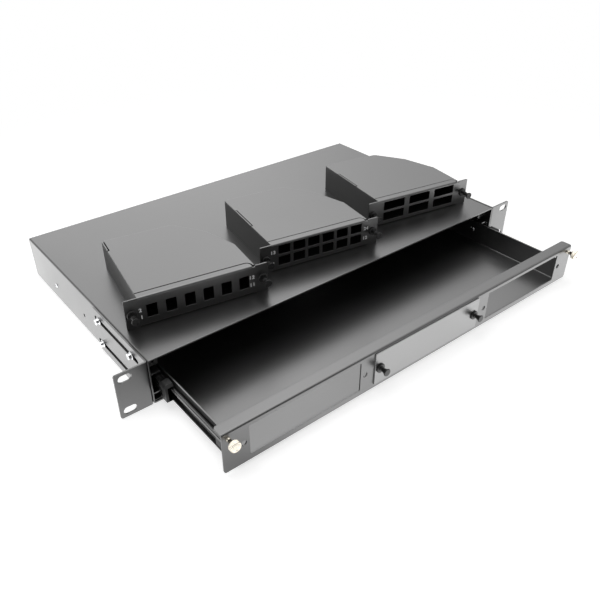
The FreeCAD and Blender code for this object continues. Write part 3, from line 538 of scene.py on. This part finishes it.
CHASSIS_HALF = 0.2127
WALL_T = 0.0012
SLIDE_T = 0.0010
SLIDE_SCREW_Z = -0.00485
REAR_SCREW_Y = 0.1925
FRONT_SCREW_Y = 0.0600
LOW_HEAD_R = 0.0023
LOW_HEAD_H = 0.0011
LOW_SHANK_L = 0.0022
LOW_CROSS_REACH = 0.0014
LOW_CROSS_WIDTH = 0.00028
LOW_CROSS_DEPTH = 0.0006
LOW_DOME_ROWS = 12
SLIDE_SCREW_SECTORS = 48


def low_head():
    """Profile from the crown down: an elliptic dome, then the shank."""
    a = np.linspace(math.pi / 2, 0, LOW_DOME_ROWS)
    dome = np.column_stack((LOW_HEAD_R * np.cos(a), LOW_HEAD_H * np.sin(a)))
    dome[0, 0] = 0
    return np.vstack((dome, [(SHANK_R, 0), (SHANK_R, -LOW_SHANK_L), (0, -LOW_SHANK_L)]))


low_recess = cross_recess(LOW_CROSS_REACH, LOW_CROSS_WIDTH, LOW_CROSS_DEPTH)
slide_head, slide_head_faces = turned_skin(low_head(), SLIDE_SCREW_SECTORS, low_recess)
slide_heads = []
for side_x in (-1, 1):
    rear_seat = (side_x * CHASSIS_HALF, REAR_SCREW_Y, SLIDE_SCREW_Z)
    front_seat = (side_x * (CHASSIS_HALF - WALL_T - SLIDE_T), FRONT_SCREW_Y, SLIDE_SCREW_Z)
    for seat, way in ((rear_seat, side_x), (front_seat, -side_x)):
        slide_heads.append((laid_along(slide_head, seat, (way, 0, 0)), slide_head_faces))
slide_screws = mesh_piece("slide_screws_domed", *joined_skins(slide_heads))
slide_screws.data.materials.append(bright_zinc)
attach(slide_screws, "chassis")
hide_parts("slide_screws")


# Cable edging: black rubber strip of U section, extruded, cut to length and pressed round the edge
# of each rear cable entry, where it keeps the sheet's edge off the cables.

RUBBER_TONE = 0.020
RUBBER_ROUGH = 0.6
FLOW_SCALE = 420.0
FLOW_HEIGHT = 0.0001
MOULDED_EDGE_ROUND = 0.00015


def moulded(name, tone, rough):
    """Moulded plastic or rubber: faint flow marks in the tone, the gloss and the surface."""
    plastic = bare_material(name)
    out = shader(plastic, "ShaderNodeOutputMaterial")
    body = shader(plastic, "ShaderNodeBsdfPrincipled", IOR=1.5)
    place = shader(plastic, "ShaderNodeTexCoord")
    flow = shader(plastic, "ShaderNodeTexNoise", Scale=FLOW_SCALE, Detail=3.0, Roughness=0.6)
    wire(plastic, place.outputs["Object"], flow.inputs["Vector"])
    tint = spread(plastic, flow, 0.2, tone * 0.8, tone * 1.3)
    gloss = spread(plastic, flow, 0.2, rough - 0.05, rough + 0.08)
    bump = shader(plastic, "ShaderNodeBump", Strength=0.12, Distance=FLOW_HEIGHT)
    wire(plastic, flow.outputs["Fac"], bump.inputs["Height"])
    wire(plastic, soft_edge(plastic, MOULDED_EDGE_ROUND), bump.inputs["Normal"])
    wire(plastic, tint, body.inputs["Base Color"])
    wire(plastic, gloss, body.inputs["Roughness"])
    wire(plastic, bump.outputs["Normal"], body.inputs["Normal"])
    wire(plastic, body.outputs["BSDF"], out.inputs["Surface"])
    return plastic


edging_rubber = moulded("edging_rubber", RUBBER_TONE, RUBBER_ROUGH)
for side in ("left", "right"):
    dress("cable_edging_" + side, edging_rubber)


# Ball slides: three rolled steel channels a side, nested and coated black and glossy, with bright
# pierced cages and polished balls between them. The rolling leaves faint streaks along the cages.

SLIDE_ROUGH = 0.20
CAGE_TONE = (0.42, 0.42, 0.41)
CAGE_ROUGH = 0.20
CAGE_STREAKS = (1500, 30, 1500)
BALL_TONE = (0.55, 0.55, 0.56)
BALL_ROUGH = 0.10

slide_black = powder_coat("slide_black", rough=SLIDE_ROUGH)
cage_strip = bright_metal("cage_strip", CAGE_TONE, CAGE_ROUGH, streaks=CAGE_STREAKS)
ball_steel = bright_metal("ball_steel", BALL_TONE, BALL_ROUGH)
for side in ("left", "right"):
    for member in ("outer", "mid", "inner"):
        dress("slide_%s_%s" % (member, side), slide_black)
    for row in ("outer", "inner"):
        dress("cage_%s_%s" % (row, side), cage_strip)
        dress("balls_%s_%s" % (row, side), ball_steel)


# Slide end caps and stops: black nylon, pushed on the middle channel's front end and into the
# inner channel's front end.

NYLON_TONE = 0.008
NYLON_ROUGH = 0.42

black_nylon = moulded("black_nylon", NYLON_TONE, NYLON_ROUGH)
for side in ("left", "right"):
    dress("slide_retainer_" + side, black_nylon)
    dress("slide_buffer_" + side, black_nylon)


# Drawer tray: floor, side walls, bay front and lip folded from one sheet and coated as the chassis
# is. Rivets hold the inner slide channels to its walls.

dress("drawer_tray", black_coat)
dress("tray_rivets", bright_zinc)


# Screw tabs: small steel angles inside the chassis mouth, coated as the chassis is. Each has a drawn
# collar, into which a thumbscrew is turned when the drawer is shut.

for side in ("left", "right"):
    dress("screw_tab_" + side, black_coat)


# Thumbscrews: turned brass, nickel plated, with a short knob that has diamond knurling and a dished
# end. A ring in the shaft's groove keeps each one captive behind the drawer front.

THUMB_X = 0.2052
THUMB_Z = 0.01335
THUMB_FACE_Y = -0.1062
KNOB_R = 0.0045
KNOB_L = 0.0042
KNOB_BEVEL = 0.0005
KNURLS = 30
KNURL_DEPTH = 0.00028
KNURL_LEAN = 1500.0
KNURL_STEPS = 8
KNURL_MARGIN = 0.9 * KNOB_BEVEL
KNURL_RISE = 4e6
DISH_R = 0.0032
DISH_DEPTH = 0.0005
HUB_R = 0.0026
HUB_L = 0.0012
PANEL_GAP = 0.0062
THUMB_SHAFT_R = 0.0018
THUMB_GROOVE_R = 0.0014
SHOULDER_AT = -0.0020
GROOVE_FROM = 0.0013
GROOVE_TO = 0.0022
THREAD_FROM = -0.0018
THREAD_TO = 0.0075
THREAD_PITCH = 0.0007
THREAD_DEPTH = 0.0003
THREAD_WAVE = (0, 0.5, 1, 0.5)
TIP_AT = 0.0080
TIP_BEVEL = 0.0006
RIM_ROWS = 20
NICKEL_TONE = (0.70, 0.65, 0.56)
NICKEL_ROUGH = 0.17


def knob_profile():
    """Profile from the dished end to the shaft's tip; height 0 is the knob's rear face. The depths on
    the shaft count from the panel; its thread is rings a quarter pitch apart, sunk as THREAD_WAVE."""
    band = np.linspace(KNOB_L - KNOB_BEVEL, KNOB_BEVEL, RIM_ROWS)
    dish_h = KNOB_L - DISH_DEPTH
    front = [(0, dish_h), (DISH_R * 0.5, dish_h), (DISH_R - DISH_DEPTH, dish_h),
             (DISH_R, KNOB_L), (KNOB_R - KNOB_BEVEL, KNOB_L)]
    rim = np.column_stack((np.full(len(band), KNOB_R), band))
    neck = [(KNOB_R - KNOB_BEVEL, 0), (HUB_R, 0), (HUB_R, -HUB_L), (THUMB_SHAFT_R, -HUB_L)]
    depth = np.arange(THREAD_FROM, THREAD_TO, THREAD_PITCH / 4)
    wave = np.tile(THREAD_WAVE, len(depth))[:len(depth)]
    in_groove = (depth > GROOVE_FROM) & (depth < GROOVE_TO)
    thread_r = np.where(in_groove, THUMB_GROOVE_R, THUMB_SHAFT_R - THREAD_DEPTH * wave)
    thread = np.column_stack((thread_r, -PANEL_GAP - depth))
    shoulder = [(THUMB_SHAFT_R, -PANEL_GAP - SHOULDER_AT)]
    tip = [(THUMB_SHAFT_R - TIP_BEVEL, -PANEL_GAP - TIP_AT), (0, -PANEL_GAP - TIP_AT)]
    return np.vstack((front, rim, neck, shoulder, thread, tip))


def knurl(r, h, a):
    """Diamond knurling: the rim sinks where either of two counter-turning screw waves is low, and
    stays as it is near both bevels."""
    rising = np.abs(np.sin(KNURLS / 2 * a + KNURL_LEAN * h))
    falling = np.abs(np.sin(KNURLS / 2 * a - KNURL_LEAN * h))
    band = np.clip((h - KNURL_MARGIN) * (KNOB_L - KNURL_MARGIN - h) * KNURL_RISE, 0, 1)
    on_rim = r > KNOB_R - 1e-6
    return -KNURL_DEPTH * (1 - np.minimum(rising, falling)) * band * on_rim, 0 * h


nickel = bright_metal("nickel_plate", NICKEL_TONE, NICKEL_ROUGH)
knob, knob_faces = turned_skin(knob_profile(), KNURL_STEPS * KNURLS, knurl)
for side, side_x in (("left", -1), ("right", 1)):
    drawn_out = laid_along(knob, (side_x * THUMB_X, THUMB_FACE_Y, THUMB_Z), (0, -1, 0))
    thumbscrew = mesh_piece("thumbscrew_knurled_" + side, drawn_out, knob_faces)
    thumbscrew.data.materials.append(nickel)
    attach(thumbscrew, "thumb_turn_" + side)
    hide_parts("thumbscrew_" + side)
    dress("thumb_ring_" + side, bright_zinc)


# Blanking plate: a flat coated sheet over the middle bay, a little glossier than the rest, held by
# two push-pull latches of black nylon.

PLATE_IOR = 2.8

plate_coat = powder_coat("blank_plate_coat", ior=PLATE_IOR)
dress("blank_plate", plate_coat)
dress("blank_grommets", black_nylon)
for side in ("left", "right"):
    dress("blank_pin_" + side, black_nylon)


# Termination cassettes: three small coated cases with folded fronts and loose lids, which stand on
# the chassis. Each has two push-pull latches, drawn out, in its front.

for number in (1, 2, 3):
    dress("cassette_%d_tray" % number, black_coat)
    dress("cassette_%d_grommets" % number, black_nylon)
    for side in ("left", "right"):
        dress("cassette_%d_pin_%s" % (number, side), black_nylon)


# Cassette lids: flat 1.2 mm sheets with softly broken edges, loose on the walls. Each is cut out for
# the rounded end of the front lip and for a tab of the left wall, and shows a dark gap round both.

CASSETTE_YAW = math.radians(-9.9)
CASSETTE_AT = {
    1: (-0.1424, 0.0348, 0.02185),
    2: (-0.0060, 0.0361, 0.02185),
    3: (0.1349, 0.0399, 0.02185),
}
LID_TOP = 0.0282
LID_THICK = 0.0012
LID_BREAK = 0.0004
LID_LEFT = -0.0530
LID_RIGHT = 0.0530
LIP_DEPTH = 0.0073
LIP_END = 0.0500
LIP_CORNER = 0.0040
LIP_START = 0.0022
LID_REAR = ((0.0530, 0.0440, 0.0060), (0.0390, 0.0800, 0.0060), (0.0150, 0.1080, 0.0060))
LID_SEAM = {1: 0.0013, 2: 0.0010, 3: 0.0009}
TAB_SPAN = {1: (0.0880, 0.1080), 2: (0.0440, 0.0800), 3: (0.0440, 0.0800)}
TAB_DEEP = 0.0012
TAB_GAP = 0.0009
FRONT_CORNER_R = 0.0006
REAR_CORNER_R = 0.0020
INNER_CORNER_R = 0.0002
NOTCH_END_R = 0.0005
NOTCH_R = 0.0004
LEAST_R = 0.00002
ARC_STEPS = 8
BREAK_STEPS = 5
FLAT_FROM = 1.6 * LID_BREAK


def corner_ways(spot):
    """At each corner of a closed outline: the unit ways back and ahead along its sides, the unit way
    of the bisector between them, and half of the angle that they enclose."""
    back = np.roll(spot, 1, axis=0) - spot
    ahead = np.roll(spot, -1, axis=0) - spot
    back /= np.linalg.norm(back, axis=1, keepdims=True)
    ahead /= np.linalg.norm(ahead, axis=1, keepdims=True)
    middle = back + ahead
    middle /= np.linalg.norm(middle, axis=1, keepdims=True)
    half = np.arccos(np.clip((back * ahead).sum(axis=1, keepdims=True), -1, 1)) / 2
    return back, ahead, middle, half


def rounded_outline(rows):
    """Closed outline from rows (x, y, radius), counter-clockwise. At each corner with half angle h an
    arc of the radius runs between the points radius / tan h along both sides, about a centre at
    radius / sin h on the bisector."""
    spot, radius = rows[:, :2], rows[:, 2:]
    back, ahead, middle, half = corner_ways(spot)
    centre = spot + middle * radius / np.sin(half)
    start = spot + back * radius / np.tan(half) - centre
    end = spot + ahead * radius / np.tan(half) - centre
    whole = math.pi - 2 * half
    sweep = whole * np.linspace(0, 1, ARC_STEPS)[None, :]
    start_share = (np.sin(whole - sweep) / np.sin(whole))[:, :, None]
    end_share = (np.sin(sweep) / np.sin(whole))[:, :, None]
    arcs = centre[:, None, :] + start_share * start[:, None, :] + end_share * end[:, None, :]
    return arcs.reshape(-1, 2)


def set_in(rows, distance):
    """Rows (x, y, radius) of the outline that runs by the distance inside: a corner moves by distance
    / sin h on its bisector, and its radius shrinks where it is convex and grows where it is not."""
    back, ahead, middle, half = corner_ways(rows[:, :2])
    bulge = np.sign(ahead[:, :1] * back[:, 1:] - ahead[:, 1:] * back[:, :1])
    moved = rows[:, :2] + middle * bulge * distance / np.sin(half)
    return np.hstack((moved, np.maximum(rows[:, 2:] - bulge * distance, LEAST_R)))


def lid_skin(corners):
    """Flat sheet on an outline. Rings go up the cut edge and over its broken corner, where the ring
    at angle a is set in by b (1 - cos a) and stands b (1 - sin a) under the top, with b the width of
    the break. One more ring inside keeps the flat top flat."""
    a = np.linspace(0, math.pi / 2, BREAK_STEPS)
    inset = np.concatenate(([0], LID_BREAK * (1 - np.cos(a)), [FLAT_FROM]))
    under = np.concatenate(([LID_THICK], LID_BREAK * (1 - np.sin(a)), [0]))
    height = LID_TOP - under
    rows = np.array(corners)
    flat = np.array([rounded_outline(set_in(rows, step)) for step in inset])
    high = np.broadcast_to(height[:, None, None], flat.shape[:2] + (1,))
    points = np.concatenate((flat, high), axis=2).reshape(-1, 3)
    count = flat.shape[1]
    i = np.arange(len(inset) - 1)[:, None] * count
    j = np.arange(count)[None, :]
    k = (j + 1) % count
    quads = np.stack((i + j, i + k, i + count + k, i + count + j), axis=2).reshape(-1, 4)
    last = (len(inset) - 1) * count
    return points, [quads, j + last, j[:, ::-1]]


def on_cassette(points, number):
    """Points of a cassette's own frame, turned by its yaw and moved to its place on the chassis."""
    turn = np.array(((math.cos(CASSETTE_YAW), -math.sin(CASSETTE_YAW), 0),
                     (math.sin(CASSETTE_YAW), math.cos(CASSETTE_YAW), 0), (0, 0, 1)))
    return points @ turn.T + np.array(CASSETTE_AT[number])


def lid_corners(number):
    """Rows (x, y, radius) round a lid: along the seam and its round end, the cut rear, and the notch,
    which runs out at the rear where the tab is the last of the wall."""
    seam = LIP_DEPTH + LID_SEAM[number]
    round_end = LIP_END + LID_SEAM[number]
    rear = LID_REAR[-1][1]
    notch_x = LID_LEFT + TAB_DEEP + TAB_GAP
    notch_low = TAB_SPAN[number][0] - TAB_GAP
    notch_high = TAB_SPAN[number][1] + TAB_GAP
    front = [(LID_LEFT, seam, FRONT_CORNER_R),
             (round_end, seam, LIP_CORNER + LID_SEAM[number]),
             (round_end, LIP_START, INNER_CORNER_R),
             (LID_RIGHT, LIP_START, FRONT_CORNER_R)]
    if notch_high > rear:
        far_end = [(notch_x, rear, NOTCH_END_R)]
    else:
        far_end = [(LID_LEFT, rear, REAR_CORNER_R),
                   (LID_LEFT, notch_high, NOTCH_R),
                   (notch_x, notch_high, NOTCH_R)]
    near_end = [(notch_x, notch_low, NOTCH_R), (LID_LEFT, notch_low, NOTCH_R)]
    return front + list(LID_REAR) + far_end + near_end


for number in (1, 2, 3):
    lid_points, lid_faces = lid_skin(lid_corners(number))
    lid = mesh_piece("cassette_%d_lid_sheet" % number, on_cassette(lid_points, number), lid_faces)
    lid.data.materials.append(black_coat)
    lid.modifiers.new("folds", "NODES").node_group = fold_group
    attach(lid, "cassette_%d_lid" % number)
    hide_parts("cassette_%d_cover" % number)


# Port numbers: plain white figures screened on the front of two cassettes, beside the first and
# the last ports.

FIGURE_H = 0.0037
FIGURE_STROKE = 0.045
FIGURE_SPACING = 1.2
INK_THICK = 0.00003
INK_GRAIN = 3000.0
INK_DARK = 0.72
INK_LIGHT = 0.86
PORT_NUMBERS = (
    (1, "2", -0.0518, 0.0161),
    (1, "1", -0.0512, 0.0092),
    (1, "12", 0.0495, 0.0171),
    (1, "11", 0.0494, 0.0096),
    (2, "13", -0.0512, 0.0201),
    (2, "1", -0.0510, 0.0082),
    (2, "24", 0.0512, 0.0193),
    (2, "12", 0.0508, 0.0089),
)


def printed_figures(name, text):
    """Mesh of the figures, flat and centred on the origin, FIGURE_H high."""
    curve = bpy.data.curves.new(name, "FONT")
    curve.body = text
    curve.size = 1.0
    curve.offset = FIGURE_STROKE
    curve.space_character = FIGURE_SPACING
    curve.align_x = "CENTER"
    holder = bpy.data.objects.new(name, curve)
    bpy.context.scene.collection.objects.link(holder)
    bpy.context.view_layer.update()
    mesh = bpy.data.meshes.new_from_object(holder)
    bpy.data.objects.remove(holder)
    flat = np.empty(3 * len(mesh.vertices))
    mesh.vertices.foreach_get("co", flat)
    flat = flat.reshape(-1, 3)
    low, high = flat.min(axis=0), flat.max(axis=0)
    scale = FIGURE_H / (high[1] - low[1])
    return mesh, (flat - (low + high) / 2) * scale


white_ink = bare_material("white_ink")
ink_out = shader(white_ink, "ShaderNodeOutputMaterial")
ink_body = shader(white_ink, "ShaderNodeBsdfPrincipled", Roughness=0.5)
ink_place = shader(white_ink, "ShaderNodeTexCoord")
ink_grain = shader(white_ink, "ShaderNodeTexNoise", Scale=INK_GRAIN, Detail=2.0)
ink_tone = spread(white_ink, ink_grain, 0.2, INK_DARK, INK_LIGHT)
wire(white_ink, ink_place.outputs["Object"], ink_grain.inputs["Vector"])
wire(white_ink, ink_tone, ink_body.inputs["Base Color"])
wire(white_ink, ink_body.outputs["BSDF"], ink_out.inputs["Surface"])

plate_right = np.array((math.cos(CASSETTE_YAW), math.sin(CASSETTE_YAW), 0))
plate_up = np.array((0, 0, 1))
plate_out = np.array((math.sin(CASSETTE_YAW), -math.cos(CASSETTE_YAW), 0))
for number, text, across, height in PORT_NUMBERS:
    figure_name = "cassette_%d_figure_%s" % (number, text)
    figure_mesh, flat = printed_figures(figure_name, text)
    on_plate = across * plate_right + height * plate_up + INK_THICK * plate_out
    spot = np.array(CASSETTE_AT[number]) + on_plate
    placed = spot + flat[:, :1] * plate_right + flat[:, 1:2] * plate_up
    figure_mesh.vertices.foreach_set("co", placed.ravel())
    figure_mesh.update()
    figure = bpy.data.objects.new(figure_name, figure_mesh)
    bpy.context.scene.collection.objects.link(figure)
    figure_mesh.materials.clear()
    figure_mesh.materials.append(white_ink)
    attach(figure, "cassette_%d" % number)
